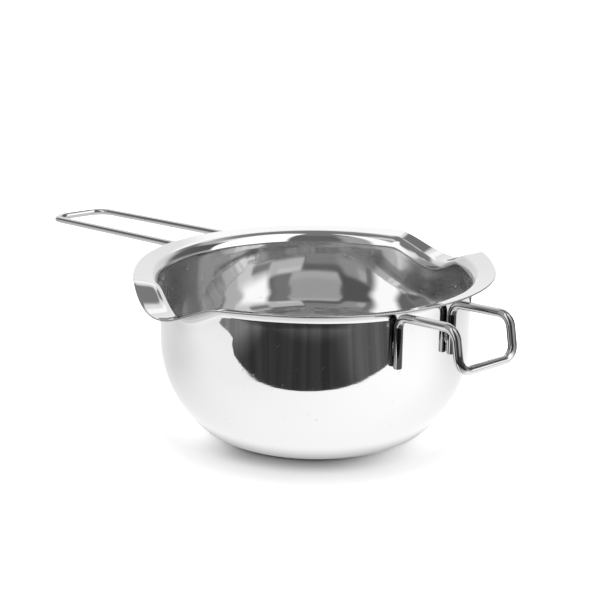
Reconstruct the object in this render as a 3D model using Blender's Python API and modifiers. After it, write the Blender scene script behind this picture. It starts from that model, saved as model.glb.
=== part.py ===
"""Wax melting pot: a drawn steel bowl with two pouring spouts, a long wire handle and a wire pan hook.

Metres, +Z up. The origin is the middle of the flat base, on the surface that the bowl stands on.
The handle points along +X and the hook along -X; the two spouts point near enough along +Y and -Y.
"""

from math import acos, atan2, cos, pi, radians, sin, sqrt, tan

import bpy
from mathutils import Vector

# Bowl
FLANGE_DIAMETER = 0.140
NECK_DIAMETER = 0.1223
RIM_HEIGHT = 0.0634
NECK_FOOT_HEIGHT = 0.0342
WALL_RADIUS = 0.0445
BASE_CORNER_RADIUS = 0.008
FOLD_RADIUS = 0.0042
FLANGE_FLARE = radians(12.5)
SHEET = 0.0006

# Pouring spouts: both stand a little nearer to the hook than to the handle
SPOUT_AZIMUTH = radians(91.4)
SPOUT_DEPTH_AT_NECK = 0.0065
SPOUT_DEPTH_AT_EDGE = 0.0077
SPOUT_HALF_ANGLE_AT_NECK = radians(18.5)
SPOUT_HALF_ANGLE_AT_EDGE = radians(20.5)
SPOUT_ROUNDNESS = 1.4
SPOUT_PUSH_AT_NECK = 0.0014
SPOUT_PUSH_AT_EDGE = 0.0045
SPOUT_PUSH_HALF_ANGLE = radians(41.0)
SPOUT_FOOT_HEIGHT = 0.036

# Wire, and the gap that it keeps to the neck and to the underside of the flange. Every width, reach, leg
# and bend below is measured along the middle of the wire.
WIRE_DIAMETER = 0.0033
WIRE_BEND_RADIUS = 0.0048
SEAT_GAP = 0.0003

# Long handle
HANDLE_WIDTH = 0.0297
HANDLE_REACH = 0.197
HANDLE_DROOP = radians(4.1)
HANDLE_LEG = 0.019
HANDLE_CORNER_RADIUS = 0.009

# Pan hook
HOOK_WIDTH = 0.0264
HOOK_REACH = 0.0883
HOOK_RISE = radians(4.9)
HOOK_DROP = 0.0146
HOOK_SPLAY = radians(11.0)
HOOK_LEG = 0.019

# Facets
TURN_STEPS = 120
MERGE_DISTANCE = 0.00001
FOLD_STEP = radians(16)
WALL_STEP = radians(10)
CORNER_STEP = radians(15)
NECK_PIECES = 7
WIRE_SIDES = 16
BEND_STEP = radians(15)

FLANGE_RADIUS = FLANGE_DIAMETER / 2
NECK_RADIUS = NECK_DIAMETER / 2
WIRE_RADIUS = WIRE_DIAMETER / 2
LEG_AXIS_RADIUS = NECK_RADIUS + SEAT_GAP + WIRE_RADIUS


def clear_scene():
    """Removes what the start file holds and sets the units."""
    for thing in list(bpy.data.objects):
        bpy.data.objects.remove(thing, do_unlink=True)
    bpy.context.scene.unit_settings.system = "METRIC"
    bpy.context.scene.unit_settings.length_unit = "MILLIMETERS"


def collection(name):
    """A new collection in the scene, for the part's objects."""
    made = bpy.data.collections.new(name)
    bpy.context.scene.collection.children.link(made)
    return made


def polished_steel(name, grey, roughness):
    """A stainless steel material of one grey."""
    made = bpy.data.materials.new(name)
    made.use_nodes = True
    shader = made.node_tree.nodes["Principled BSDF"]
    shader.inputs["Base Color"].default_value = (grey, grey, grey, 1)
    shader.inputs["Metallic"].default_value = 1
    shader.inputs["Roughness"].default_value = roughness
    made.diffuse_color = (grey, grey, grey, 1)
    return made


def arc(centre, radius, start, end, step):
    """Points on an arc of the bowl's section, from one angle to the other, in (radius, height)."""
    count = max(1, round(abs(end - start) / step))
    angles = (start + (end - start) * i / count for i in range(count + 1))
    return [(centre[0] + radius * cos(a), centre[1] + radius * sin(a)) for a in angles]


def underside(radius):
    """The height of the flange's lower side at a radius outside the fold."""
    return RIM_HEIGHT - SHEET * cos(FLANGE_FLARE) - (FLANGE_RADIUS - radius) * tan(FLANGE_FLARE)


def bowl_section():
    """The outer side of the sheet, from the flange's edge to the middle of the base, and the neck's top."""
    fold_end = NECK_RADIUS + FOLD_RADIUS * (1 - sin(FLANGE_FLARE))
    fold_centre = (NECK_RADIUS + FOLD_RADIUS, underside(fold_end) - FOLD_RADIUS * cos(FLANGE_FLARE))

    wall_centre = (NECK_RADIUS - WALL_RADIUS, NECK_FOOT_HEIGHT)
    corner_height = NECK_FOOT_HEIGHT - BASE_CORNER_RADIUS
    corner_offset = sqrt((WALL_RADIUS - BASE_CORNER_RADIUS) ** 2 - corner_height**2)
    corner_centre = (wall_centre[0] + corner_offset, BASE_CORNER_RADIUS)
    meeting = -atan2(corner_height, corner_offset)

    flange = [(radius, underside(radius)) for radius in (FLANGE_RADIUS, (FLANGE_RADIUS + fold_end) / 2)]
    fold = arc(fold_centre, FOLD_RADIUS, pi / 2 + FLANGE_FLARE, pi, FOLD_STEP)
    neck_step = (fold_centre[1] - NECK_FOOT_HEIGHT) / NECK_PIECES
    neck = [(NECK_RADIUS, fold_centre[1] - neck_step * i) for i in range(1, NECK_PIECES)]
    wall = arc(wall_centre, WALL_RADIUS, 0, meeting, WALL_STEP)
    corner = arc(corner_centre, BASE_CORNER_RADIUS, meeting, -pi / 2, CORNER_STEP)
    return flange + fold + neck + wall + corner[1:] + [(0, 0)], fold_centre[1]


def ease(share):
    """0 below 0, 1 above 1, and a smooth climb between."""
    share = min(max(share, 0), 1)
    return share * share * (3 - 2 * share)


def press_spout(point, neck_top):
    """Where a point of the turned sheet goes when the two spouts are pressed into the rim."""
    radius = Vector((point.x, point.y)).length
    if point.z <= SPOUT_FOOT_HEIGHT:
        return point
    off_centre = abs(atan2(abs(point.y), point.x) - SPOUT_AZIMUTH)
    climb = ease((point.z - SPOUT_FOOT_HEIGHT) / (neck_top - SPOUT_FOOT_HEIGHT))
    out = max(0, (radius - NECK_RADIUS) / (FLANGE_RADIUS - NECK_RADIUS))

    half_angle = SPOUT_HALF_ANGLE_AT_NECK + (SPOUT_HALF_ANGLE_AT_EDGE - SPOUT_HALF_ANGLE_AT_NECK) * out
    depth = SPOUT_DEPTH_AT_NECK + (SPOUT_DEPTH_AT_EDGE - SPOUT_DEPTH_AT_NECK) * out
    drop = depth * climb * cos(pi / 2 * min(1, off_centre / half_angle)) ** SPOUT_ROUNDNESS

    reach = SPOUT_PUSH_AT_NECK + (SPOUT_PUSH_AT_EDGE - SPOUT_PUSH_AT_NECK) * out
    push = reach * climb * cos(pi / 2 * min(1, off_centre / SPOUT_PUSH_HALF_ANGLE)) ** 2
    scale = (radius + push) / radius
    return Vector((point.x * scale, point.y * scale, point.z - drop))


def make_bowl(parts):
    """The bowl: its section turned once round, both spouts pressed in, then given the sheet's thickness."""
    section, neck_top = bowl_section()
    profile = bpy.data.meshes.new("bowl_section")
    edges = [(i, i + 1) for i in range(len(section) - 1)]
    profile.from_pydata([(radius, 0, height) for radius, height in section], edges, [])
    turned = bpy.data.objects.new("bowl_section", profile)
    parts.objects.link(turned)
    turn = turned.modifiers.new("Turn", "SCREW")
    turn.steps = TURN_STEPS
    turn.render_steps = TURN_STEPS
    turn.use_merge_vertices = True
    turn.merge_threshold = MERGE_DISTANCE
    bpy.context.view_layer.update()
    graph = bpy.context.evaluated_depsgraph_get()
    sheet = bpy.data.meshes.new_from_object(turned.evaluated_get(graph))
    bpy.data.objects.remove(turned, do_unlink=True)

    for vertex in sheet.vertices:
        vertex.co = press_spout(vertex.co, neck_top)
    sheet.name = "bowl"
    sheet.shade_smooth()
    bowl = bpy.data.objects.new("bowl", sheet)
    parts.objects.link(bowl)
    wall = bowl.modifiers.new("Sheet", "SOLIDIFY")
    wall.thickness = SHEET
    wall.offset = -1
    wall.use_even_offset = True
    bowl.data.materials.append(polished_steel("mirror_steel", grey=0.78, roughness=0.06))
    return bowl


def bent_route(corners, bends):
    """The centre line of a wire through its corners, each rounded by an arc of its own radius."""
    route = [Vector(corners[0])]
    for before, corner, after, radius in zip(corners, corners[1:], corners[2:], bends):
        corner = Vector(corner)
        back = (Vector(before) - corner).normalized()
        ahead = (Vector(after) - corner).normalized()
        half = acos(max(-1, min(1, back.dot(ahead)))) / 2
        middle = (back + ahead).normalized()
        centre = corner + middle * (radius / sin(half))
        first = corner + back * (radius / tan(half)) - centre
        sweep = pi - 2 * half
        axis = back.cross(ahead).normalized()
        count = max(2, round(sweep / BEND_STEP))
        for i in range(count + 1):
            angle = -sweep * i / count
            route.append(centre + first * cos(angle) + axis.cross(first) * sin(angle))
    route.append(Vector(corners[-1]))
    return route


def mirrored(half):
    """A symmetric wire's corners: one side's, then the other side's from its far end back."""
    return half + [(x, -y, z) for x, y, z in reversed(half)]


def make_wire(name, route, material, parts):
    """One round wire along a route, closed at both ends."""
    curve = bpy.data.curves.new(name, "CURVE")
    curve.dimensions = "3D"
    curve.twist_mode = "MINIMUM"
    curve.bevel_depth = WIRE_RADIUS
    curve.bevel_resolution = (WIRE_SIDES - 4) // 2
    curve.use_fill_caps = True
    spline = curve.splines.new("POLY")
    spline.points.add(len(route) - 1)
    for point, place in zip(spline.points, route):
        point.co = (*place, 1)
    curve.materials.append(material)
    wire = bpy.data.objects.new(name, curve)
    parts.objects.link(wire)
    return wire


def leg_top(width):
    """Where a wire leg on the neck turns outward under the flange: distance along X, and height."""
    along = sqrt(LEG_AXIS_RADIUS**2 - (width / 2) ** 2)
    return along, underside(LEG_AXIS_RADIUS) - SEAT_GAP - WIRE_RADIUS


def make_long_handle(material, parts):
    """The handle: up one leg on the neck, out, across and back, and down the other leg."""
    side = HANDLE_WIDTH / 2
    near, run_height = leg_top(HANDLE_WIDTH)
    end_height = run_height - (HANDLE_REACH - near) * tan(HANDLE_DROOP)
    half = [
        (near, side, run_height - HANDLE_LEG),
        (near, side, run_height),
        (HANDLE_REACH, side, end_height),
    ]
    bends = [WIRE_BEND_RADIUS, HANDLE_CORNER_RADIUS, HANDLE_CORNER_RADIUS, WIRE_BEND_RADIUS]
    return make_wire("long_handle", bent_route(mirrored(half), bends), material, parts)


def make_pan_hook(material, parts):
    """The hook: up one leg, out and a little up, down outside the saucepan's rim, across, and back."""
    side = HOOK_WIDTH / 2
    near, run_height = leg_top(HOOK_WIDTH)
    shoulder_height = run_height + (HOOK_REACH - near) * tan(HOOK_RISE)
    foot = HOOK_REACH + HOOK_DROP * tan(HOOK_SPLAY)
    half = [
        (-near, side, run_height - HOOK_LEG),
        (-near, side, run_height),
        (-HOOK_REACH, side, shoulder_height),
        (-foot, side, shoulder_height - HOOK_DROP),
    ]
    corners = mirrored(half)
    bends = [WIRE_BEND_RADIUS] * (len(corners) - 2)
    return make_wire("pan_hook", bent_route(corners, bends), material, parts)


def main():
    """Builds the three pieces."""
    clear_scene()
    parts = collection("wax_melting_pot")
    wire_steel = polished_steel("wire_steel", grey=0.72, roughness=0.12)
    make_bowl(parts)
    make_long_handle(wire_steel, parts)
    make_pan_hook(wire_steel, parts)


main()
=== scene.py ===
"""Wax melting pot: a mirror-polished steel bowl with two pouring spouts, a long wire handle and a pan hook.

Metres, +Z up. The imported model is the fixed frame: the handle points along +X and the hook along -X.
"""

from math import acos, atan2, cos, hypot, pi, radians, sin, sqrt, tan

import bmesh
import bpy
from mathutils import Matrix, Vector, noise


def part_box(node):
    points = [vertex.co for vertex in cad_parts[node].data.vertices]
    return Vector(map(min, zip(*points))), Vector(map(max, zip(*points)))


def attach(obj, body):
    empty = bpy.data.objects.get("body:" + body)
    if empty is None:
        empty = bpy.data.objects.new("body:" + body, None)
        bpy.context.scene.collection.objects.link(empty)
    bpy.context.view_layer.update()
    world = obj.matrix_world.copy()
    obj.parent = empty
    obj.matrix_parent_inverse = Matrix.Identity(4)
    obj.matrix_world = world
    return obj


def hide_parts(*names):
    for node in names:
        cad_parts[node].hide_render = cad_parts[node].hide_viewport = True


bl_info = {
    "name": "Wax Melting Pot",
    "version": (1, 0, 0),
    "blender": (4, 5, 0),
    "location": "3D View > Sidebar > Melting Pot",
    "description": "Builds a polished steel melting pot with a wire handle and a pan hook",
    "category": "Add Mesh",
}

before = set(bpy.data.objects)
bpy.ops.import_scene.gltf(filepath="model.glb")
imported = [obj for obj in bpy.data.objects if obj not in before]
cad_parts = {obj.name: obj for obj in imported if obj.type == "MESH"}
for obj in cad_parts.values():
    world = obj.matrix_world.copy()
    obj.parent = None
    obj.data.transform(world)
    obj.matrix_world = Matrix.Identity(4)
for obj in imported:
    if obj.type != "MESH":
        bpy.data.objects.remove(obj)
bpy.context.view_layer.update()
bowl_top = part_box("bowl")[1]


def number(name, description, default, **limits):
    """A plain number."""
    return bpy.props.FloatProperty(name=name, description=description, default=default, **limits)


def length(name, description, default):
    """A size in metres."""
    return number(name, description, default, min=0, precision=5, unit="LENGTH", subtype="DISTANCE")


def angle(name, description, default):
    """An angle, given in degrees."""
    return number(name, description, radians(default), subtype="ANGLE")


def colour(name, description, default):
    """A colour, linear."""
    return bpy.props.FloatVectorProperty(
        name=name, description=description, default=default, size=3, min=0, max=1, subtype="COLOR"
    )


class BowlSettings(bpy.types.PropertyGroup):
    """Sizes of the drawn bowl and its two spouts."""

    flange_diameter: length("Flange diameter", "Across the flange's outer edge", 0.140)
    neck_diameter: length("Neck diameter", "Across the outside of the straight neck", 0.1223)
    rim_height: length("Rim height", "From the base to the top of the flange's edge", bowl_top.z)
    neck_foot_height: length("Neck foot height", "Where the straight neck becomes the round wall", 0.0342)
    wall_radius: length("Wall radius", "Radius of the round wall's arc", 0.0445)
    base_corner_radius: length("Base corner radius", "Between the round wall and the flat base", 0.008)
    fold_radius: length("Fold radius", "Where the neck turns out into the flange", 0.0042)
    flange_flare: angle("Flange flare", "How steeply the flange climbs outward", 12.5)
    sheet: length("Sheet", "Thickness of the steel sheet", 0.0006)
    edge_round: length("Edge rounding", "Radius on the flange's cut edge", 0.0002)
    spout_azimuth: angle("Spout direction", "Of both spouts, measured from the handle", 91.4)
    spout_depth_at_neck: length("Spout depth at the neck", "How far the fold is pressed down", 0.0065)
    spout_depth_at_edge: length("Spout depth at the edge", "How far the outer edge is pressed down", 0.0077)
    spout_half_angle_at_neck: angle("Spout half angle at the neck", "Half its width at the fold", 18.5)
    spout_half_angle_at_edge: angle("Spout half angle at the edge", "Half its width at the edge", 20.5)
    spout_roundness: number("Spout roundness", "Higher is narrower at the bottom", 1.4, min=1)
    spout_push_at_neck: length("Spout push at the neck", "How far the fold is pushed outward", 0.0014)
    spout_push_at_edge: length("Spout push at the edge", "How far the edge is pushed outward", 0.0045)
    spout_push_half_angle: angle("Spout push half angle", "Half the width of what is pushed outward", 41.0)
    spout_foot_height: length("Spout foot height", "Where the spout starts on the neck", 0.036)
    steel: colour("Steel", "Colour of the polished sheet", (0.66, 0.66, 0.66))


class WireSettings(bpy.types.PropertyGroup):
    """Sizes of the handle and the hook, measured along the middle of the wire."""

    diameter: length("Wire diameter", "Of the handle and the hook", 0.00323)
    bend_radius: length("Bend radius", "Of every bend but the handle's two outer corners", 0.0048)
    end_round: length("End rounding", "On the wire's cut ends", 0.0004)
    seat_gap: length("Seat gap", "Between the wire and the neck, filled by the weld", 0.0003)
    handle_width: length("Handle width", "Between the handle's two runs", 0.0297)
    handle_reach: length("Handle reach", "From the bowl's axis to the crossbar", 0.197)
    handle_droop: angle("Handle droop", "How steeply the handle falls away from the bowl", 4.1)
    handle_leg: length("Handle leg", "Length of each end on the neck", 0.019)
    handle_corner_radius: length("Handle corner radius", "Of the two outer corners", 0.009)
    hook_width: length("Hook width", "Between the hook's two runs", 0.0264)
    hook_reach: length("Hook reach", "From the bowl's axis to the shoulder", 0.0883)
    hook_rise: angle("Hook rise", "How steeply the hook's runs climb", 4.9)
    hook_drop: length("Hook drop", "Height of the part outside the saucepan's rim", 0.0146)
    hook_splay: angle("Hook splay", "How far the drops lean outward", 11.0)
    hook_leg: length("Hook leg", "Length of each end on the neck", 0.019)
    weld_width: length("Weld width", "Across one weld", 0.0021)
    weld_height: length("Weld height", "Along the leg", 0.0075)
    steel: colour("Steel", "Colour of the drawn wire", (0.56, 0.56, 0.56))
    weld_steel: colour("Weld", "Colour of the bare welds", (0.55, 0.54, 0.53))


class StageSettings(bpy.types.PropertyGroup):
    """The floor, what the steel reflects, and the camera."""

    floor: colour("Floor", "Colour of the pale floor", (0.90, 0.90, 0.90))
    light: number("Light", "Strength of the light on the floor", 2.8, min=0)
    sheet_glow: number("Sheet glow", "The white sheet as the steel shows it", 1.36)
    turn: angle("Turn", "From the ground's axes to the pot's own", 128.7)
    camera_elevation: angle("Camera elevation", "How far the camera looks down", 16.435)
    camera_roll: angle("Camera roll", "Round the line of sight", 0.314)
    camera_distance: length("Camera distance", "From the middle of the mouth", 0.441522)
    camera_right: number("Right", "Of the mouth's middle in the view", 0.013614)
    camera_up: number("Up", "Of the mouth's middle in the view", 0.028364)
    lens: number("Lens", "Focal length in millimetres", 67.5, min=1)


def settings_of(context):
    """This scene's settings for the bowl, the wires and the stage."""
    scene = context.scene
    return scene.melting_pot_bowl, scene.melting_pot_wire, scene.melting_pot_stage


# Nodes


def feed(tree, node, values):
    """Values or links for a node's inputs, by name or number."""
    for key, value in values.items():
        if isinstance(value, bpy.types.NodeSocket):
            tree.links.new(value, node.inputs[key])
        else:
            node.inputs[key].default_value = value


def add(tree, kind, values=(), **settings):
    """A node with its settings and its inputs."""
    node = tree.nodes.new(kind)
    for name, value in settings.items():
        setattr(node, name, value)
    feed(tree, node, dict(values))
    return node


def maths(tree, operation, first, second=0.0, **settings):
    """A math node's result."""
    return add(tree, "ShaderNodeMath", {0: first, 1: second}, operation=operation, **settings).outputs[0]


def total(tree, first, *others):
    """Some values added up."""
    for other in others:
        first = maths(tree, "ADD", first, other)
    return first


def product(tree, first, *others):
    """Some values multiplied."""
    for other in others:
        first = maths(tree, "MULTIPLY", first, other)
    return first


def spread(tree, value, low, high, to_low=0.0, to_high=1.0, **settings):
    """A value taken from one range to another, clamped."""
    inputs = {"Value": value, "From Min": low, "From Max": high, "To Min": to_low, "To Max": to_high}
    return add(tree, "ShaderNodeMapRange", inputs, **settings).outputs["Result"]


def soft_step(tree, value, low, high, to_low, to_high):
    """A value taken smoothly from one range to another."""
    return spread(tree, value, low, high, to_low, to_high, interpolation_type="SMOOTHSTEP")


def angle_step(tree, value, low, high, to_low, to_high):
    """A soft step between two angles in degrees."""
    return soft_step(tree, value, radians(low), radians(high), to_low, to_high)


def own_place(tree):
    """A point's place on its piece."""
    return tree.nodes.new("ShaderNodeTexCoord").outputs["Object"]


def facing(tree):
    """Where the surface faces."""
    return tree.nodes.new("ShaderNodeNewGeometry").outputs["Normal"]


def parts(tree, vector):
    """A vector's X, Y and Z."""
    return add(tree, "ShaderNodeSeparateXYZ", {0: vector}).outputs


def stretched(tree, place, factors):
    """A place with each of its coordinates multiplied."""
    return add(tree, "ShaderNodeVectorMath", {0: place, 1: factors}, operation="MULTIPLY").outputs[0]


def reach(tree, place):
    """How far a place is from the origin."""
    return add(tree, "ShaderNodeVectorMath", {0: place}, operation="LENGTH").outputs["Value"]


def speckle(tree, place, scale, detail):
    """Soft random light and dark."""
    inputs = {"Vector": place, "Scale": scale, "Detail": detail}
    return add(tree, "ShaderNodeTexNoise", inputs).outputs["Fac"]


def upright_streaks(tree, bearing, scale):
    """Random light and dark that only changes with the bearing."""
    inputs = {"W": bearing, "Scale": scale, "Detail": 2.0}
    return add(tree, "ShaderNodeTexNoise", inputs, noise_dimensions="1D").outputs["Fac"]


def ground_direction(tree, place, turn):
    """A direction's or a place's bearing on the ground, and its parts along the ground's axes."""
    inputs = {"Vector": place, "Angle": turn}
    turned = add(tree, "ShaderNodeVectorRotate", inputs, rotation_type="Z_AXIS").outputs[0]
    apart = parts(tree, turned)
    return maths(tree, "ARCTAN2", apart["X"], apart["Y"]), apart


def float_mix(tree, factor, first, second):
    """Two numbers mixed."""
    return add(tree, "ShaderNodeMix", {"Factor": factor, "A": first, "B": second}).outputs["Result"]


def colour_mix(tree, factor, first, second):
    """Two colours, each a triple or a link, mixed by a factor that changes over the surface."""
    inputs = {"Factor": factor}
    for key, paint in ((6, first), (7, second)):
        inputs[key] = paint if isinstance(paint, bpy.types.NodeSocket) else (*paint, 1)
    return add(tree, "ShaderNodeMix", inputs, data_type="RGBA").outputs[2]


def darker(paint, share):
    """A share of a colour."""
    return tuple(channel * share for channel in paint)


def dimmed(tree, paint, kept):
    """A colour of which only a share is kept, which changes over the surface."""
    return add(tree, "ShaderNodeVectorMath", {0: paint, "Scale": kept}, operation="SCALE").outputs[0]


def bump(tree, height, strength, distance, under=None, **settings):
    """A normal for a small relief, laid over the one under it."""
    inputs = {"Height": height, "Strength": strength, "Distance": distance}
    if under:
        inputs["Normal"] = under
    return add(tree, "ShaderNodeBump", inputs, **settings).outputs[0]


# Node groups


def new_group(name, inputs, outputs):
    """An empty node group. An input without a default is a vector, and all others are numbers."""
    group = bpy.data.node_groups.new(name, "ShaderNodeTree")
    for label, default in inputs.items():
        kind = "NodeSocketVector" if default is None else "NodeSocketFloat"
        socket = group.interface.new_socket(label, in_out="INPUT", socket_type=kind)
        if default is not None:
            socket.default_value = default
    for label in outputs:
        group.interface.new_socket(label, in_out="OUTPUT", socket_type="NodeSocketFloat")
    return group, group.nodes.new("NodeGroupInput").outputs, group.nodes.new("NodeGroupOutput")


def hairline_group(name):
    """Fine straight scratches in three directions: 1 in a scratch, 0 elsewhere."""
    group, given, made = new_group(name, {"Place": None, "Scale": 1.0, "Cover": 0.5}, ["Mask"])
    least = maths(group, "SUBTRACT", 0.80, product(group, given["Cover"], 0.2))
    mask = 0.0
    for turn, tilt, size in ((0.4, 0.2, 900.0), (1.5, 0.9, 1300.0), (2.6, 1.7, 700.0)):
        turned = add(group, "ShaderNodeMapping", {"Vector": given["Place"], "Rotation": (tilt, 0.3, turn)})
        long = stretched(group, turned.outputs[0], (0.02, 1.0, 0.6))
        lines = speckle(group, long, product(group, given["Scale"], size), 1.0)
        sharp = maths(group, "MULTIPLY", maths(group, "SUBTRACT", lines, least), 22.0, use_clamp=True)
        mask = maths(group, "MAXIMUM", mask, sharp)
    feed(group, made, {"Mask": mask})
    return group


def turning_group(name):
    """Rings round the pot's axis, as a polishing wheel leaves them on a turning bowl."""
    group, given, made = new_group(name, {"Place": None, "Scale": 1.0}, ["Lines", "Bands"])
    out = reach(group, stretched(group, given["Place"], (1.0, 1.0, 0.0)))
    height = parts(group, given["Place"])["Z"]
    ring = add(group, "ShaderNodeCombineXYZ", {"X": out, "Z": height}).outputs[0]
    for label, size in (("Lines", 2600.0), ("Bands", 160.0)):
        feed(group, made, {label: speckle(group, ring, product(group, given["Scale"], size), 2.0)})
    return group


def handling_group(name):
    """Faint finger marks and wiped smears: 1 where the surface is dullest."""
    group, given, made = new_group(name, {"Place": None, "Scale": 1.0, "Cover": 0.5}, ["Mask"])
    patches = speckle(group, given["Place"], product(group, given["Scale"], 38.0), 4.0)
    smear = stretched(group, given["Place"], (1.0, 0.25, 1.6))
    fine = speckle(group, smear, product(group, given["Scale"], 420.0), 3.0)
    least = maths(group, "SUBTRACT", 0.72, product(group, given["Cover"], 0.3))
    patch = maths(group, "MULTIPLY", maths(group, "SUBTRACT", patches, least), 5.0, use_clamp=True)
    feed(group, made, {"Mask": product(group, patch, fine)})
    return group


def patch_group(name):
    """A soft-edged patch of the room: 1 inside its bearings and elevations, 0 outside."""
    sizes = {"West": 0.0, "East": 1.0, "Low": 0.0, "High": 1.0, "Soft": 0.1}
    group, given, made = new_group(name, {"Bearing": 0.0, "Elevation": 0.0, **sizes}, ["Mask"])
    half = product(group, given["Soft"], 0.5)
    mask = 1.0
    for place, near, far in (("Bearing", "West", "East"), ("Elevation", "Low", "High")):
        for edge, inside in ((near, 1.0), (far, 0.0)):
            low = maths(group, "SUBTRACT", given[edge], half)
            high = total(group, given[edge], half)
            mask = product(group, mask, soft_step(group, given[place], low, high, 1.0 - inside, inside))
    feed(group, made, {"Mask": mask})
    return group


def place_group(tree, name, make, label="", **values):
    """A node group in a tree with its own values, made the first time that it's asked for."""
    group = bpy.data.node_groups.get(name) or make(name)
    return add(tree, "ShaderNodeGroup", values, node_tree=group, label=label).outputs


# Materials

# Stretches high on the inner wall that are rougher and have shade painted into their colour, each by the
# middle of its bearing and half its width in degrees, and the heights between which they begin.
DULL_SHADED_STRETCHES = ((45, 24), (-111, 28))
DULL_SHADED_FROM = (0.036, 0.044)
# The fold's underside, where shade is painted into the steel's colour: the heights between which it begins.
FOLD_FROM = (0.044, 0.052)
# The light streaks left out of the painted shade on an upright wire, by the bearing that its surface faces,
# in degrees:
# where the broad one comes and goes, and the middle of the thin one.
BROAD_STREAK_COMES = (218, 234)
BROAD_STREAK_GOES = (250, 264)
THIN_STREAK = 205


def new_material(name, metallic=1.0):
    """A material, its tree and its Principled shader."""
    made = bpy.data.materials.new(name)
    made.use_nodes = True
    shader = made.node_tree.nodes["Principled BSDF"]
    shader.inputs["Metallic"].default_value = metallic
    return made, made.node_tree, shader


def dull_shaded_wall(tree, place):
    """Stretches of the inner wall that are rougher and get painted shade: 1 there and 0 elsewhere."""
    apart = parts(tree, place)
    bearing = maths(tree, "ARCTAN2", apart["Y"], apart["X"])
    dull = 0.0
    for middle, half in DULL_SHADED_STRETCHES:
        aside = maths(tree, "ABSOLUTE", maths(tree, "SUBTRACT", bearing, radians(middle)))
        dull = total(tree, dull, angle_step(tree, aside, half, half + 8, 1.0, 0.0))
    high = soft_step(tree, apart["Z"], *DULL_SHADED_FROM, 0.0, 1.0)
    inputs = {0: facing(tree), 1: stretched(tree, place, (1.0, 1.0, 0.0))}
    outward = add(tree, "ShaderNodeVectorMath", inputs, operation="DOT_PRODUCT").outputs["Value"]
    return product(tree, dull, high, soft_step(tree, outward, -0.04, -0.02, 1.0, 0.0))


def under_fold(tree, place):
    """The underside of the fold and the flange, where shade is painted: 1 there and 0 elsewhere."""
    down = soft_step(tree, parts(tree, facing(tree))["Z"], -0.5, -0.2, 1.0, 0.0)
    return product(tree, down, soft_step(tree, parts(tree, place)["Z"], *FOLD_FROM, 0.0, 1.0))


def mirror_steel(steel):
    """Mirror-polished sheet: turning lines, hairline scratches, faint handling marks, a slight wave and
    painted shade.
    """
    made, tree, shader = new_material("polished_sheet")
    place = own_place(tree)
    turning = place_group(tree, "turning lines", turning_group, Place=place, Scale=1.0)
    scratch = place_group(tree, "hairline scratches", hairline_group, Place=place, Scale=1.0, Cover=0.2)
    mark = place_group(tree, "handling marks", handling_group, Place=place, Scale=1.0, Cover=0.45)
    scratch, mark = scratch["Mask"], mark["Mask"]
    # The dull stretches are rougher and also take painted shade in their colour.
    dull = dull_shaded_wall(tree, place)
    worn = maths(tree, "MAXIMUM", scratch, product(tree, mark, 0.5))
    # Painted shade: the fold's underside and the dull stretches are darkened in the steel's colour.
    painted_shade = total(tree, product(tree, under_fold(tree, place), 0.26), product(tree, dull, 0.2))
    polished = colour_mix(tree, worn, steel, darker(steel, 0.9))
    # Later reflections are rougher, so that what the corners show between themselves isn't grainy.
    depth = tree.nodes.new("ShaderNodeLightPath").outputs["Glossy Depth"]
    rough = total(
        tree,
        spread(tree, turning["Bands"], 0.35, 0.65, 0.028, 0.05),
        product(tree, dull, 0.14),
        product(tree, mark, 0.05),
        product(tree, scratch, 0.12),
        spread(tree, depth, 1.5, 3.5, 0.0, 0.16),
    )
    wave = bump(tree, speckle(tree, place, 46.0, 1.0), 1.0, 0.00008)
    turned = bump(tree, turning["Lines"], 0.05, 0.00002, wave)
    relief = bump(tree, scratch, 0.2, 0.00001, turned, invert=True)
    base = dimmed(tree, polished, maths(tree, "SUBTRACT", 1.0, painted_shade))
    feed(tree, shader, {"Base Color": base, "Roughness": rough, "Normal": relief})
    return made


def cut_edge_steel(steel):
    """The sheet's cut edge: ground along its length but not polished, and darkened in colour as a painted
    shade line along the rim.
    """
    made, tree, shader = new_material("cut_edge")
    ground = speckle(tree, stretched(tree, own_place(tree), (1.0, 1.0, 12.0)), 500.0, 2.0)
    # Painted shade: the edge's colour is darkened to draw the dark line along the rim.
    base = colour_mix(tree, ground, darker(steel, 0.55), darker(steel, 0.4))
    feed(tree, shader, {"Base Color": base, "Roughness": spread(tree, ground, 0.3, 0.7, 0.25, 0.4)})
    return made


def upright_shade(tree, turn):
    """Painted shade on an upright wire, for the dark side of the studio it would show: all round but for two
    light streaks.
    """
    bearing = ground_direction(tree, facing(tree), turn)[0]
    bearing = maths(tree, "MODULO", total(tree, bearing, 2 * pi), 2 * pi)
    comes = angle_step(tree, bearing, *BROAD_STREAK_COMES, 1.0, 0.0)
    goes = angle_step(tree, bearing, *BROAD_STREAK_GOES, 0.0, 1.0)
    off_thin = maths(tree, "ABSOLUTE", maths(tree, "SUBTRACT", bearing, radians(THIN_STREAK)))
    return product(tree, total(tree, comes, goes), angle_step(tree, off_thin, 3, 7, 0.0, 1.0))


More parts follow.
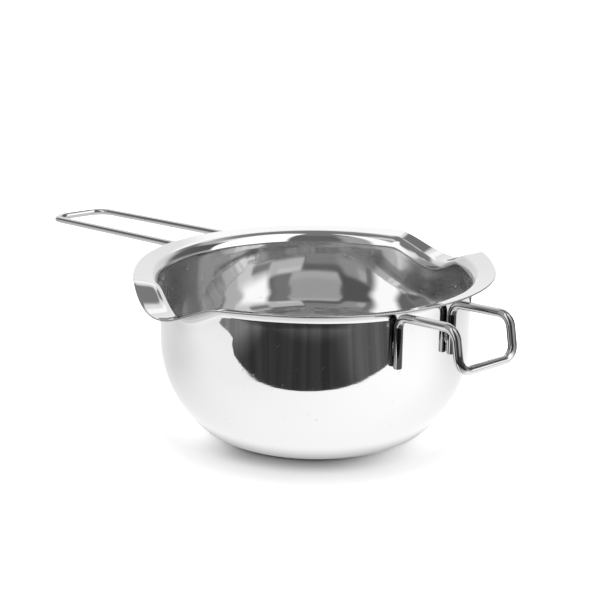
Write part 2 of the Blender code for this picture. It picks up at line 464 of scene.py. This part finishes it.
def wire_steel(steel, turn):
    """Drawn wire, polished: fine lines along its length, small nicks, a few dull marks and painted shade on
    upright parts.
    """
    made, tree, shader = new_material("drawn_wire")
    lay = add(tree, "ShaderNodeAttribute", attribute_name="lay").outputs["Vector"]
    upright = add(tree, "ShaderNodeAttribute", attribute_name="upright").outputs["Fac"]
    place = own_place(tree)
    long = stretched(tree, lay, (1.0, 1.0, 0.012))
    lines = speckle(tree, long, 3200.0, 3.0)
    bands = speckle(tree, long, 700.0, 1.0)
    mark = place_group(tree, "handling marks", handling_group, Place=place, Scale=1.6, Cover=0.55)["Mask"]
    nick = place_group(tree, "hairline scratches", hairline_group, Place=place, Scale=1.4, Cover=0.3)["Mask"]
    worn = maths(tree, "MAXIMUM", nick, spread(tree, lines, 0.56, 0.72))
    drawn = colour_mix(tree, worn, steel, darker(steel, 0.82))
    shaded = product(tree, upright, upright_shade(tree, turn))
    rough = spread(tree, bands, 0.3, 0.7, 0.018, 0.035)
    rough = total(tree, rough, product(tree, mark, 0.06), product(tree, nick, 0.15))
    relief = bump(tree, nick, 0.3, 0.00002, bump(tree, lines, 0.04, 0.00002), invert=True)
    # Painted shade: upright parts take a near-black colour in place of the dark studio they would reflect.
    base = colour_mix(tree, shaded, drawn, darker(steel, 0.09))
    feed(tree, shader, {"Base Color": base, "Roughness": rough, "Normal": relief})
    return made


def weld_steel(steel):
    """A bare resistance weld: dull, uneven, darker in its pits."""
    made, tree, shader = new_material("bare_weld")
    lumps = speckle(tree, own_place(tree), 1500.0, 3.0)
    base = colour_mix(tree, spread(tree, lumps, 0.6, 0.4), steel, darker(steel, 0.5))
    rough = spread(tree, lumps, 0.3, 0.7, 0.45, 0.22)
    feed(tree, shader, {"Base Color": base, "Roughness": rough, "Normal": bump(tree, lumps, 0.7, 0.0001)})
    return made


def new_object(bm, name, material):
    """The bmesh as an object of the scene."""
    mesh = bpy.data.meshes.new(name)
    bm.to_mesh(mesh)
    bm.free()
    mesh.materials.append(material)
    made = bpy.data.objects.new(name, mesh)
    bpy.context.scene.collection.objects.link(made)
    return made


def finish_piece(bm, name, material, node=None):
    """The bmesh as a shaded piece on the pot's body, in place of a CAD node where one is named."""
    piece = new_object(bm, name, material)
    piece.data.shade_smooth()
    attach(piece, "root")
    if node:
        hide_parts(node)
    return piece


# Bowl

# How many steps the bowl's section takes round the axis.
BOWL_STEPS = 300


def arc(centre, radius, start, end, step):
    """Points on an arc of the bowl's section, in (radius, height)."""
    count = max(1, round(abs(end - start) / step))
    angles = (between(start, end, i / count) for i in range(count + 1))
    return [(centre[0] + radius * cos(a), centre[1] + radius * sin(a)) for a in angles]


def between(low, high, share):
    """The value a share of the way from one to the other."""
    return low + (high - low) * share


def split(first, last, pieces):
    """Points between two of the section's points, without either of them."""
    shares = (i / pieces for i in range(1, pieces))
    return [(between(first[0], last[0], share), between(first[1], last[1], share)) for share in shares]


def underside(bowl, radius):
    """The height of the flange's lower side at a radius outside the fold."""
    drop = (bowl.flange_diameter / 2 - radius) * tan(bowl.flange_flare)
    return bowl.rim_height - bowl.sheet * cos(bowl.flange_flare) - drop


def bowl_section(bowl):
    """The outer side of the sheet, from the flange's edge to the middle of the base, and the neck's top."""
    flange_radius, neck_radius = bowl.flange_diameter / 2, bowl.neck_diameter / 2
    fold_end = neck_radius + bowl.fold_radius * (1 - sin(bowl.flange_flare))
    fold_height = underside(bowl, fold_end) - bowl.fold_radius * cos(bowl.flange_flare)
    fold_centre = (neck_radius + bowl.fold_radius, fold_height)
    fold = arc(fold_centre, bowl.fold_radius, pi / 2 + bowl.flange_flare, pi, radians(8))

    corner_height = bowl.neck_foot_height - bowl.base_corner_radius
    corner_offset = sqrt((bowl.wall_radius - bowl.base_corner_radius) ** 2 - corner_height**2)
    wall_middle = neck_radius - bowl.wall_radius
    meeting = -atan2(corner_height, corner_offset)
    wall = arc((wall_middle, bowl.neck_foot_height), bowl.wall_radius, 0, meeting, radians(2.5))
    corner_centre = (wall_middle + corner_offset, bowl.base_corner_radius)
    corner = arc(corner_centre, bowl.base_corner_radius, meeting, -pi / 2, radians(5))

    edge = (flange_radius, underside(bowl, flange_radius))
    flange = [edge] + split(edge, fold[0], 7)
    neck = split(fold[-1], wall[0], 14)
    base = split(corner[-1], (0, 0), 6)
    return flange + fold + neck + wall + corner[1:] + base + [(0, 0)], fold_height


def ease(value):
    """0 below 0, 1 above 1, and a smooth climb between."""
    value = min(max(value, 0), 1)
    return value * value * (3 - 2 * value)


def press_spout(bowl, point, neck_top):
    """Where a point of the turned sheet goes when the two spouts are pressed into the rim."""
    radius = hypot(point.x, point.y)
    if point.z <= bowl.spout_foot_height:
        return point
    neck_radius = bowl.neck_diameter / 2
    off_centre = abs(atan2(abs(point.y), point.x) - bowl.spout_azimuth)
    climb = ease((point.z - bowl.spout_foot_height) / (neck_top - bowl.spout_foot_height))
    out = max(0, (radius - neck_radius) / (bowl.flange_diameter / 2 - neck_radius))

    half_angle = between(bowl.spout_half_angle_at_neck, bowl.spout_half_angle_at_edge, out)
    depth = between(bowl.spout_depth_at_neck, bowl.spout_depth_at_edge, out)
    drop = depth * climb * cos(pi / 2 * min(1, off_centre / half_angle)) ** bowl.spout_roundness

    furthest = between(bowl.spout_push_at_neck, bowl.spout_push_at_edge, out)
    push = furthest * climb * cos(pi / 2 * min(1, off_centre / bowl.spout_push_half_angle)) ** 2
    scale = (radius + push) / radius
    return Vector((point.x * scale, point.y * scale, point.z - drop))


class MELTINGPOT_OT_bowl(bpy.types.Operator):
    """Turn the bowl, press in its two spouts and give the sheet its thickness"""

    bl_idname = "melting_pot.bowl"
    bl_label = "Bowl"

    def execute(self, context):
        bowl = settings_of(context)[0]
        section, neck_top = bowl_section(bowl)
        bm = bmesh.new()
        verts = [bm.verts.new((radius, 0, height)) for radius, height in section]
        edges = [bm.edges.new(pair) for pair in zip(verts, verts[1:])]
        whole = {"cent": (0, 0, 0), "axis": (0, 0, 1), "angle": 2 * pi, "steps": BOWL_STEPS}
        bmesh.ops.spin(bm, geom=verts + edges, use_merge=True, **whole)
        bmesh.ops.remove_doubles(bm, verts=bm.verts, dist=1e-7)
        for vert in bm.verts:
            vert.co = press_spout(bowl, vert.co, neck_top)
        bmesh.ops.recalc_face_normals(bm, faces=bm.faces)
        lowest = min(bm.faces, key=lambda face: face.calc_center_median().z)
        if lowest.normal.z > 0:
            bmesh.ops.reverse_faces(bm, faces=bm.faces)
        piece = finish_piece(bm, "melting_bowl", mirror_steel(bowl.steel), node="bowl")
        wall = piece.modifiers.new("Sheet", "SOLIDIFY")
        wall.thickness = bowl.sheet
        wall.offset = -1
        wall.use_even_offset = True
        piece.data.materials.append(cut_edge_steel(bowl.steel))
        wall.material_offset_rim = 1
        rounding = piece.modifiers.new("Cut edge", "BEVEL")
        rounding.width = bowl.edge_round
        rounding.segments = 3
        rounding.limit_method = "ANGLE"
        rounding.angle_limit = radians(50)
        return {"FINISHED"}


# Wires

# How many sides the wire has, and how far a bend turns from one ring of them to the next.
WIRE_SIDES = 40
BEND_STEP = radians(4)
# A wire starts to count as upright at this share of its full climb, and does so fully at this one. Its legs
# lie within this distance of the axis. The hook's drops, further out, are shaded less.
UPRIGHT_FROM, UPRIGHT_TO = 0.5, 0.85
LEGS_WITHIN = 0.07
DROP_SHADE = 0.8


def bent_route(corners, bends):
    """The centre line of a wire through its corners, each rounded by an arc of its own radius."""
    route = [Vector(corners[0])]
    for before, corner, after, radius in zip(corners, corners[1:], corners[2:], bends):
        corner = Vector(corner)
        back = (Vector(before) - corner).normalized()
        ahead = (Vector(after) - corner).normalized()
        half = acos(max(-1, min(1, back.dot(ahead)))) / 2
        centre = corner + (back + ahead).normalized() * (radius / sin(half))
        first = corner + back * (radius / tan(half)) - centre
        sweep = pi - 2 * half
        axis = back.cross(ahead).normalized()
        count = max(4, round(sweep / BEND_STEP))
        for i in range(count + 1):
            turned = -sweep * i / count
            route.append(centre + first * cos(turned) + axis.cross(first) * sin(turned))
    route.append(Vector(corners[-1]))
    return route


def mirrored(half):
    """A symmetric wire's corners: one side's, then the other side's from its far end back."""
    return half + [(x, -y, z) for x, y, z in reversed(half)]


def leg_top(bowl, wire, width):
    """Where a wire leg on the neck turns outward under the flange: distance along X, and height."""
    leg_axis = bowl.neck_diameter / 2 + wire.seat_gap + wire.diameter / 2
    along = sqrt(leg_axis**2 - (width / 2) ** 2)
    return along, underside(bowl, leg_axis) - wire.seat_gap - wire.diameter / 2


def handle_corners(bowl, wire):
    """The handle's corners and the radius of each bend."""
    side = wire.handle_width / 2
    near, height = leg_top(bowl, wire, wire.handle_width)
    end_height = height - (wire.handle_reach - near) * tan(wire.handle_droop)
    foot, top = (near, side, height - wire.handle_leg), (near, side, height)
    half = [foot, top, (wire.handle_reach, side, end_height)]
    bends = [wire.bend_radius, wire.handle_corner_radius]
    return mirrored(half), bends + bends[::-1]


def hook_corners(bowl, wire):
    """The hook's corners and the radius of each bend."""
    side = wire.hook_width / 2
    near, height = leg_top(bowl, wire, wire.hook_width)
    shoulder = height + (wire.hook_reach - near) * tan(wire.hook_rise)
    foot = wire.hook_reach + wire.hook_drop * tan(wire.hook_splay)
    half = [
        (-near, side, height - wire.hook_leg),
        (-near, side, height),
        (-wire.hook_reach, side, shoulder),
        (-foot, side, shoulder - wire.hook_drop),
    ]
    corners = mirrored(half)
    return corners, [wire.bend_radius] * (len(corners) - 2)


def drawn_wire(route, radius, end_round):
    """A round wire extruded along its route.

    Its attribute lay holds each point's place round and along the wire. Its attribute upright is 1 on the
    legs, less on the hook's drops and 0 where the wire lies flat.
    """
    bm = bmesh.new()
    lay = bm.verts.layers.float_vector.new("lay")
    upright = bm.verts.layers.float.new("upright")
    heading = (route[1] - route[0]).normalized()
    turn = heading.to_track_quat("Z", "Y").to_matrix()
    start = Matrix.Translation(route[0]) @ turn.to_4x4()
    made = bmesh.ops.create_circle(bm, cap_ends=True, segments=WIRE_SIDES, radius=radius, matrix=start)
    ring = made["verts"]
    first_ring = list(ring)
    along = 0.0

    def write_lay(centre):
        steep = (abs(heading.z) - UPRIGHT_FROM) / (UPRIGHT_TO - UPRIGHT_FROM)
        shade = min(1, max(0, steep)) * (1 if centre.xy.length < LEGS_WITHIN else DROP_SHADE)
        for vert in ring:
            arm = vert.co - centre
            vert[lay] = (arm.dot(turn.col[0]), arm.dot(turn.col[1]), along)
            vert[upright] = shade

    write_lay(route[0])
    edges = [edge for edge in bm.edges if set(edge.verts) <= set(ring)]
    for before, point, after in zip(route, route[1:], [*route[2:], None]):
        stretch = (point - before).length
        if stretch < 1e-6:
            continue
        along += stretch
        inward = (point - before).normalized()
        onward = heading if after is None else (after - point).normalized()
        bisector = (inward + onward).normalized() if onward.length else inward
        grown = bmesh.ops.extrude_edge_only(bm, edges=edges)["geom"]
        ring = [part for part in grown if isinstance(part, bmesh.types.BMVert)]
        edges = [part for part in grown if isinstance(part, bmesh.types.BMEdge)]
        edges = [edge for edge in edges if set(edge.verts) <= set(ring)]
        bmesh.ops.translate(bm, verts=ring, vec=point - before)
        swing = heading.rotation_difference(bisector).to_matrix()
        bmesh.ops.rotate(bm, verts=ring, cent=point, matrix=swing)
        turn = swing @ turn
        heading = bisector
        write_lay(point)
    bmesh.ops.contextual_create(bm, geom=edges)
    ends = edges + [edge for edge in bm.edges if set(edge.verts) <= set(first_ring)]
    bmesh.ops.recalc_face_normals(bm, faces=bm.faces)
    bmesh.ops.bevel(bm, geom=ends, offset=end_round, segments=4, profile=0.5, affect="EDGES", material=-1)
    return bm


def bend_wire(context, corners_of, name, node):
    """One bent wire as a finished piece."""
    bowl, wire, stage = settings_of(context)
    bm = drawn_wire(bent_route(*corners_of(bowl, wire)), wire.diameter / 2, wire.end_round)
    material = bpy.data.materials.get("drawn_wire") or wire_steel(wire.steel, stage.turn)
    finish_piece(bm, name, material, node=node)


class MELTINGPOT_OT_long_handle(bpy.types.Operator):
    """Bend the long handle from one wire"""

    bl_idname = "melting_pot.long_handle"
    bl_label = "Long handle"

    def execute(self, context):
        bend_wire(context, handle_corners, "handle_wire", "long_handle")
        return {"FINISHED"}


class MELTINGPOT_OT_pan_hook(bpy.types.Operator):
    """Bend the pan hook from one wire"""

    bl_idname = "melting_pot.pan_hook"
    bl_label = "Pan hook"

    def execute(self, context):
        bend_wire(context, hook_corners, "hook_wire", "pan_hook")
        return {"FINISHED"}


# How far down its leg a weld's middle lies, and how deep a weld is in wire diameters.
WELD_BELOW = 0.62
WELD_DEPTH = 0.45


def weld_bead(bm, centre, out, width, height, depth):
    """One flattened, slightly uneven bead of weld, its long side upright and its back to the neck."""
    side = Vector((0, 0, 1)).cross(out)
    made = bmesh.ops.create_uvsphere(bm, u_segments=32, v_segments=20, radius=0.5)
    for vert in made["verts"]:
        broad, fine = (noise.noise(vert.co * size + centre * 900) for size in (5, 14))
        place = vert.co * (1 + 0.22 * broad + 0.1 * fine)
        upward = Vector((0, 0, place.z * height))
        vert.co = centre + out * (place.x * depth) + side * (place.y * width) + upward


class MELTINGPOT_OT_welds(bpy.types.Operator):
    """Weld each of the four wire legs to the neck"""

    bl_idname = "melting_pot.welds"
    bl_label = "Welds"

    def execute(self, context):
        bowl, wire, _ = settings_of(context)
        out_of_axis = bowl.neck_diameter / 2 + wire.seat_gap / 2
        handle, hook = (1, wire.handle_width, wire.handle_leg), (-1, wire.hook_width, wire.hook_leg)
        bm = bmesh.new()
        for direction, width, leg in (handle, hook):
            near, height = leg_top(bowl, wire, width)
            for hand in (1, -1):
                out = Vector((direction * near, hand * width / 2, 0)).normalized()
                centre = out * out_of_axis + Vector((0, 0, height - leg * WELD_BELOW))
                weld_bead(bm, centre, out, wire.weld_width, wire.weld_height, wire.diameter * WELD_DEPTH)
        bmesh.ops.recalc_face_normals(bm, faces=bm.faces)
        finish_piece(bm, "weld_beads", weld_steel(wire.weld_steel))
        return {"FINISHED"}


# Stage


def stage_piece(bm, name, material, turn, seen_by_camera=True):
    """A floor or a card of the studio. A card only shows in the steel."""
    bmesh.ops.rotate(bm, verts=bm.verts, cent=(0, 0, 0), matrix=Matrix.Rotation(-turn, 3, "Z"))
    made = new_object(bm, name, material)
    for kind in ("camera", "diffuse", "shadow", "transmission"):
        setattr(made, "visible_" + kind, seen_by_camera)


def card(outline, height):
    """A flat card lying at a height."""
    bm = bmesh.new()
    bm.faces.new([bm.verts.new((x, y, height)) for x, y in outline])
    return bm


def card_material(name):
    """A material for a card, and its empty tree."""
    made = bpy.data.materials.new(name)
    made.use_nodes = True
    made.node_tree.nodes.clear()
    return made, made.node_tree


def glow(tree, tone):
    """Lets a card glow, but without what the pot would throw back onto the floor round its foot."""
    path = tree.nodes.new("ShaderNodeLightPath").outputs
    direct = maths(tree, "LESS_THAN", path["Diffuse Depth"], 0.5)
    light = add(tree, "ShaderNodeEmission", {"Color": (1, 1, 1, 1), "Strength": product(tree, tone, direct)})
    add(tree, "ShaderNodeOutputMaterial", {"Surface": light.outputs[0]})


# What the steel sees of the studio. Each line is a soft-edged patch, laid over the lines before it: how
# bright it is, the bearings it lies between (0 is straight away from the camera, 90 is to the right), the
# elevations it lies between and how soft its edges are, in degrees. FLANGE_ROOM is what the rim, the outside
# and the wires see, BOWL_ROOM what the inside shows after two reflections, THIRD_ROOM after three and
# DEEP_ROOM after four or more. The values are rounded.
FLANGE_ROOM = (
    ("ceiling", 0.27, -200, 200, 58, 100, 8),
    ("left ceiling", 0.9, -120, -64, 59, 71, 8),
    ("back wall", 1.08, -46, 33, -20, 50, 10),
    ("bright back", 1.4, -3, 17, 30, 41, 5),
    ("ceiling edge", 0.28, -6, 26, 49, 60, 5),
    ("left door", 0.2, -88, -50, -12, 29, 6),
    ("rim corner", 0.24, 22, 44, 33, 46, 4),
    ("dark corner", 0.13, 40, 92, 10, 44, 6),
    ("right softbox", 1.9, 93, 158, -20, 80, 6),
    ("high corner", 0.6, 40, 78, 44, 56, 8),
    ("right ceiling", 1.2, 72, 96, 48, 76, 8),
    ("left softbox", 1.5, -139, -118, -20, 80, 6),
)
BOWL_ROOM = (
    ("near wall", 0.28, -200, 200, -10, 100, 8),
    ("left wall", 0.95, -174, -84, -10, 46, 10),
    ("low left softbox", 1.3, -144, -112, -10, 40, 10),
    ("left floor stand", 0.42, -116, -84, 21, 31, 6),
    ("left panel", 1.0, -84, -24, 21, 42, 6),
    ("left curtain", 0.38, -70, -34, 42, 80, 14),
    ("window", 1.2, -66, -26, 34, 40, 5),
    ("middle panel", 0.85, -38, 39, 40, 58, 9),
    ("high panel", 0.72, -35, 36, 52, 84, 9),
    ("back curtain", 0.25, -19, 58, 30, 40, 5),
    ("low back curtain", 0.45, -22, 62, 14, 30, 6),
    ("right curtain", 0.19, 42, 98, 42, 84, 8),
    ("right panel", 0.58, 50, 92, 18, 42, 10),
    ("bright right panel", 0.82, 75, 90, 27, 40, 8),
    ("dark gap", 0.36, 90, 111, 10, 44, 6),
    ("right softbox", 2.2, 107, 155, -10, 80, 20),
    ("left softbox", 2.2, -136, -82, 38, 80, 16),
)
THIRD_ROOM = (
    ("walls", 0.55, -200, 200, -10, 100, 8),
    ("left side", 0.9, -145, -64, 5, 60, 14),
    ("low left side", 0.72, -126, -68, 6, 19, 6),
    ("left of the middle", 1.35, -66, -22, 0, 60, 14),
    ("middle", 2.1, -22, 24, 6, 60, 14),
    ("right of the middle", 2.1, 20, 60, 20, 60, 8),
    ("low right", 1.0, 26, 58, 0, 19, 6),
    ("right side", 1.45, 62, 88, 8, 21, 6),
    ("right corner", 0.35, 62, 92, 21, 32, 5),
    ("far right side", 0.72, 90, 200, -10, 20, 10),
)
DEEP_ROOM = (
    ("walls", 0.55, -200, 200, -10, 100, 8),
    ("left side", 0.75, -140, -66, -10, 60, 14),
    ("low left side", 1.25, -200, -116, -10, 20, 12),
    ("middle", 1.35, -62, 48, -10, 60, 14),
    ("right side", 1.9, 48, 162, -10, 40, 14),
)
# Edges inside the bowl lean outward by this many degrees of bearing for each degree of elevation, between
# the outer two of these elevations, and are in place at the middle one.
LEAN = 0.85
LEAN_FROM, IN_PLACE_AT, LEAN_TO = 20, 40, 68
# How bright the plain walls are, how bright the wall behind the camera is, and where one becomes the other.
PLAIN_WALL, WALL_BEHIND = 0.5, 0.18
BEHIND = (154, 162)
# The reflection after which the steel stops getting darker, and what makes up for its loss from there on.
HELD_UP_AFTER = 6.6
HELD_UP_BY = 1.5
# The bearings between which the light on the floor ends, and how bright the camera's backdrop is.
LIGHT_ENDS = (128, 158)
BACKDROP = 1.5
# The height of the point that the camera's distance is measured to.
MOUTH_HEIGHT = 0.061653


def room_brightness(tree, bearing, elevation, plain, patches):
    """How bright the room is in a direction: its plain walls, with each patch laid over what comes before."""
    bright = plain
    for label, strength, *edges in patches:
        inputs = dict(zip(("West", "East", "Low", "High", "Soft"), map(radians, edges)))
        inputs.update(Bearing=bearing, Elevation=elevation)
        patch = place_group(tree, "soft patch", patch_group, label, **inputs)
        bright = float_mix(tree, patch["Mask"], bright, strength)
    return bright


def leaning(tree, bearing, elevation):
    """The bearing that an edge seen inside the bowl has where it is in place."""
    low, middle, high = radians(LEAN_FROM), radians(IN_PLACE_AT), radians(LEAN_TO)
    rise = spread(tree, elevation, low, high, (low - middle) * LEAN, (high - middle) * LEAN)
    side = spread(tree, bearing, radians(-30), radians(30), -1.0, 1.0)
    return maths(tree, "SUBTRACT", bearing, product(tree, rise, side))


def studio_world(scene, stage):
    """A white backdrop for the camera, light for the floor, and the studio that the steel reflects."""
    world = bpy.data.worlds.new("studio")
    world.use_nodes = True
    tree = world.node_tree
    tree.nodes.clear()
    direction = tree.nodes.new("ShaderNodeTexCoord").outputs["Generated"]
    bearing, apart = ground_direction(tree, direction, stage.turn)
    elevation = maths(tree, "ARCSINE", apart["Z"])
    beside = maths(tree, "ABSOLUTE", bearing)
    plain = angle_step(tree, beside, *BEHIND, PLAIN_WALL, WALL_BEHIND)
    lean = leaning(tree, bearing, elevation)
    streaks = spread(tree, upright_streaks(tree, bearing, 9.0), 0.35, 0.65, 0.8, 1.2)
    path = tree.nodes.new("ShaderNodeLightPath").outputs
    seen = room_brightness(tree, bearing, elevation, plain, FLANGE_ROOM)
    for before, room, streaked in ((1.5, BOWL_ROOM, False), (2.5, THIRD_ROOM, True), (3.5, DEEP_ROOM, True)):
        inside = room_brightness(tree, lean, elevation, plain, room)
        if streaked:
            inside = product(tree, inside, streaks)
        later = maths(tree, "GREATER_THAN", path["Glossy Depth"], before)
        seen = float_mix(tree, later, seen, inside)
    further = maths(tree, "MAXIMUM", 0.0, maths(tree, "SUBTRACT", path["Glossy Depth"], HELD_UP_AFTER))
    seen = product(tree, seen, maths(tree, "POWER", HELD_UP_BY, further))
    overhead = angle_step(tree, beside, *LIGHT_ENDS, stage.light, 0.0)
    light, backdrop, room = (
        add(tree, "ShaderNodeBackground", {"Color": (1, 1, 1, 1), "Strength": strength}).outputs[0]
        for strength in (overhead, BACKDROP, seen)
    )
    view = light
    for ray, other in (("Is Camera Ray", backdrop), ("Is Glossy Ray", room)):
        view = add(tree, "ShaderNodeMixShader", {"Fac": path[ray], 1: view, 2: other}).outputs[0]
    add(tree, "ShaderNodeOutputWorld", {"Surface": view})
    scene.world = world


# How far the floor and the studio's cards reach, and the heights at which the cards lie.
FAR = 3.0
SHEET_HEIGHT, TABLE_HEIGHT = 0.0003, 0.0006
# Distances from the middle of the foot, in metres: where the shadow painted on the floor in front of it ends,
# where the light painted on the floor beside it, in place of what the body throws back, ends, and where the
# shadow painted on the white sheet ends.
FOOT_SHADOW = (0.048, 0.058)
FOOT_LIGHT = (0.040, 0.064)
SHEET_SHADOW = (0.041, 0.053)
# Where the white sheet ends and the dark studio begins, in front of the pot and behind it.
FRONT_EDGE = (
    (-3.0, -0.08), (-0.6, -0.09), (-0.205, -0.104), (-0.178, -0.117), (-0.158, -0.117), (-0.145, -0.12),
    (-0.132, -0.121), (-0.125, -0.111), (-0.116, -0.106), (-0.107, -0.112), (-0.099, -0.118),
    (-0.088, -0.125), (-0.075, -0.129), (-0.058, -0.131), (-0.019, -0.135), (0.026, -0.14),
    (0.055, -0.142), (0.083, -0.137), (0.115, -0.126), (0.148, -0.113), (0.185, -0.132), (0.25, -0.14),
    (0.6, -0.13), (3.0, -0.1),
)
BACK_EDGE = (
    (-0.03, 0.2), (0.02, 0.165), (0.08, 0.148), (0.15, 0.146), (0.24, 0.16), (0.6, 0.15), (3.0, 0.12)
)


class MELTINGPOT_OT_stage(bpy.types.Operator):
    """Lay the pale floor, set up the studio and the camera"""

    bl_idname = "melting_pot.stage"
    bl_label = "Stage"

    def execute(self, context):
        stage = settings_of(context)[2]
        scene = context.scene
        scene.view_settings.view_transform = "Standard"
        scene.cycles.max_bounces = 32
        scene.cycles.glossy_bounces = 30
        self.lay_floor(stage)
        self.lay_white_sheet(stage)
        self.lay_dark_studio(stage)
        studio_world(scene, stage)
        self.place_camera(scene, stage)
        return {"FINISHED"}

    def lay_floor(self, stage):
        """The pale floor, with a shadow painted in front of the foot and light painted beside it in place of
        what the body throws back.
        """
        made, tree, shader = new_material("pale_floor", metallic=0.0)
        feed(tree, shader, {"Roughness": 0.8, "Specular IOR Level": 0.0, "Emission Color": (1, 1, 1, 1)})
        place = own_place(tree)
        grain = speckle(tree, place, 300.0, 3.0)
        plain = colour_mix(tree, grain, stage.floor, darker(stage.floor, 0.985))
        bearing = ground_direction(tree, place, stage.turn)[0]
        out = reach(tree, place)
        right = angle_step(tree, bearing, 105, 180, 1.0, 0.0)
        left = angle_step(tree, bearing, -150, -105, 0.0, 1.0)
        aside = product(tree, right, left)
        in_front = maths(tree, "POWER", maths(tree, "SUBTRACT", 1.0, aside), 2.0)
        # Painted shadow: the floor's colour is darkened in front of the foot.
        dim = product(tree, in_front, soft_step(tree, out, *FOOT_SHADOW, 0.3, 0.0))
        base = dimmed(tree, plain, maths(tree, "SUBTRACT", 1.0, dim))
        near_side = angle_step(tree, maths(tree, "ABSOLUTE", bearing), 60, 90, 0.3, 1.0)
        # Painted light: the floor glows beside the foot in place of the light the polished body would throw
        # there.
        painted_light = product(tree, aside, soft_step(tree, out, *FOOT_LIGHT, 0.75, 0.0), near_side)
        feed(tree, shader, {"Base Color": base, "Emission Strength": painted_light})
        bm = bmesh.new()
        bmesh.ops.create_grid(bm, x_segments=4, y_segments=4, size=FAR)
        stage_piece(bm, "floor", made, stage.turn)

    def lay_white_sheet(self, stage):
        """The white sheet under the pot as the steel shows it, a glowing card with a shadow painted where the
        pot stands on it.
        """
        made, tree = card_material("white_sheet")
        place = own_place(tree)
        out = reach(tree, stretched(tree, place, (1.0, 1.0, 0.0)))
        apart = ground_direction(tree, place, stage.turn)[1]
        tone = product(
            tree,
            # Painted shadow round the foot; the other factors fade the glow further out, at the back and to
            # the left.
            soft_step(tree, out, *SHEET_SHADOW, 0.12, stage.sheet_glow),
            soft_step(tree, out, 0.15, 0.36, 1.0, 0.74),
            soft_step(tree, apart["X"], -0.16, 0.12, 0.93, 1.10),
            soft_step(tree, apart["Y"], -0.07, 0.03, 1.0, 0.75),
        )
        glow(tree, tone)
        sheet = card([(-FAR, -FAR), (FAR, -FAR), (FAR, FAR), (-FAR, FAR)], SHEET_HEIGHT)
        stage_piece(sheet, "white_sheet", made, stage.turn, seen_by_camera=False)

    def lay_dark_studio(self, stage):
        """The dark studio beyond the white sheet, which only shows in the steel."""
        made, tree = card_material("table_edge")
        bearing, apart = ground_direction(tree, own_place(tree), stage.turn)
        tone = total(
            tree,
            soft_step(tree, apart["X"], 0.03, 0.08, 0.05, 0.14),
            soft_step(tree, apart["X"], -0.145, -0.10, 0.22, 0.0),
            soft_step(tree, apart["Y"], -0.235, -0.205, 0.08, 0.0),
        )
        streaks = spread(tree, upright_streaks(tree, bearing, 11.0), 0.3, 0.7, 0.8, 1.25)
        glow(tree, product(tree, tone, streaks))
        front = [*FRONT_EDGE, (FAR, -FAR), (-FAR, -FAR)]
        back = [*BACK_EDGE, (FAR, FAR), (-0.4, FAR)]
        for name, outline in (("table_edge", front), ("back_table_edge", back)):
            stage_piece(card(outline, TABLE_HEIGHT), name, made, stage.turn, seen_by_camera=False)

    def place_camera(self, scene, stage):
        """The camera at the photograph's viewing angle."""
        down, roll = stage.camera_elevation, stage.camera_roll
        ahead = Vector((0, cos(down), -sin(down)))
        right = Vector((1, 0, 0))
        up = right.cross(ahead)
        rolled_right = right * cos(roll) + up * sin(roll)
        rolled_up = up * cos(roll) - right * sin(roll)
        mouth = Vector((0, 0, MOUTH_HEIGHT))
        seen = ahead + rolled_right * stage.camera_right + rolled_up * stage.camera_up
        place = mouth - seen * stage.camera_distance
        axes = Matrix((rolled_right, rolled_up, -ahead)).transposed().to_4x4()
        data = bpy.data.cameras.new("camera")
        data.lens = stage.lens
        data.sensor_width = 36
        data.clip_start = 0.01
        camera = bpy.data.objects.new("camera", data)
        camera.matrix_world = Matrix.Rotation(-stage.turn, 4, "Z") @ Matrix.Translation(place) @ axes
        scene.collection.objects.link(camera)
        scene.camera = camera


class MELTINGPOT_PT_panel(bpy.types.Panel):
    """The pot's pieces and its stage"""

    bl_label = "Wax Melting Pot"
    bl_idname = "MELTINGPOT_PT_panel"
    bl_space_type = "VIEW_3D"
    bl_region_type = "UI"
    bl_category = "Melting Pot"

    def draw(self, context):
        for settings in settings_of(context):
            box = self.layout.box()
            for name in settings.bl_rna.properties.keys():
                if name not in ("rna_type", "name"):
                    box.prop(settings, name)
        for operator in OPERATORS:
            self.layout.operator(operator.bl_idname)


SETTINGS = {
    "melting_pot_bowl": BowlSettings,
    "melting_pot_wire": WireSettings,
    "melting_pot_stage": StageSettings,
}
OPERATORS = (
    MELTINGPOT_OT_bowl,
    MELTINGPOT_OT_long_handle,
    MELTINGPOT_OT_pan_hook,
    MELTINGPOT_OT_welds,
    MELTINGPOT_OT_stage,
)


def register():
    """Registers the settings, the operators and the panel."""
    for name, settings in SETTINGS.items():
        bpy.utils.register_class(settings)
        setattr(bpy.types.Scene, name, bpy.props.PointerProperty(type=settings))
    for operator in OPERATORS:
        bpy.utils.register_class(operator)
    bpy.utils.register_class(MELTINGPOT_PT_panel)


def unregister():
    """Takes the panel, the operators and the settings away again."""
    bpy.utils.unregister_class(MELTINGPOT_PT_panel)
    for operator in reversed(OPERATORS):
        bpy.utils.unregister_class(operator)
    for name, settings in SETTINGS.items():
        delattr(bpy.types.Scene, name)
        bpy.utils.unregister_class(settings)


def main():
    """Builds the pot and its stage."""
    register()
    for operator in OPERATORS:
        group, name = operator.bl_idname.split(".")
        getattr(getattr(bpy.ops, group), name)()


if __name__ == "__main__":
    main()
